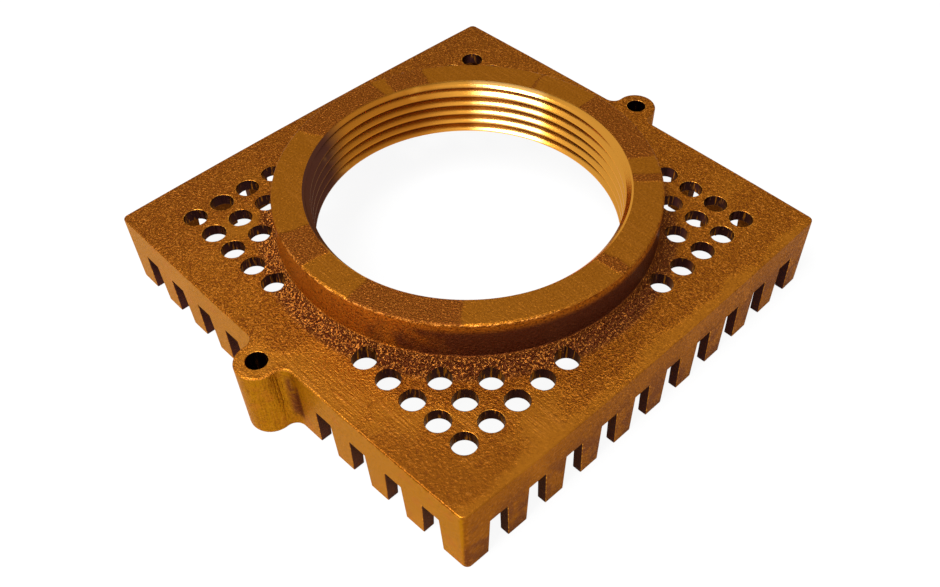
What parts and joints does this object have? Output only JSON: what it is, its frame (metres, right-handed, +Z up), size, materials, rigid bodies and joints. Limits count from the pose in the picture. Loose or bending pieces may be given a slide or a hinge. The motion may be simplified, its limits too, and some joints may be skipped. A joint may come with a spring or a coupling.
{
  "type": "bilge strainer",
  "caption": "Square cast bronze strainer box with a slotted skirt, drilled corners, a raised threaded pipe ring and two screw lugs.",
  "frame": {"origin": "on the floor that the skirt's feet stand on, under the middle of the box", "axes": "+Z up along the pipe bore, +X through the two screw lugs, +Y along the lug sides"},
  "size_m": [0.1538, 0.1352, 0.0363],
  "materials": {
    "cast_bronze": "sand cast, grainy, with ground faces and a machined thread"
  },
  "bodies": {
    "root": {"strainer_body": "cast_bronze"}
  },
  "joints": []
}
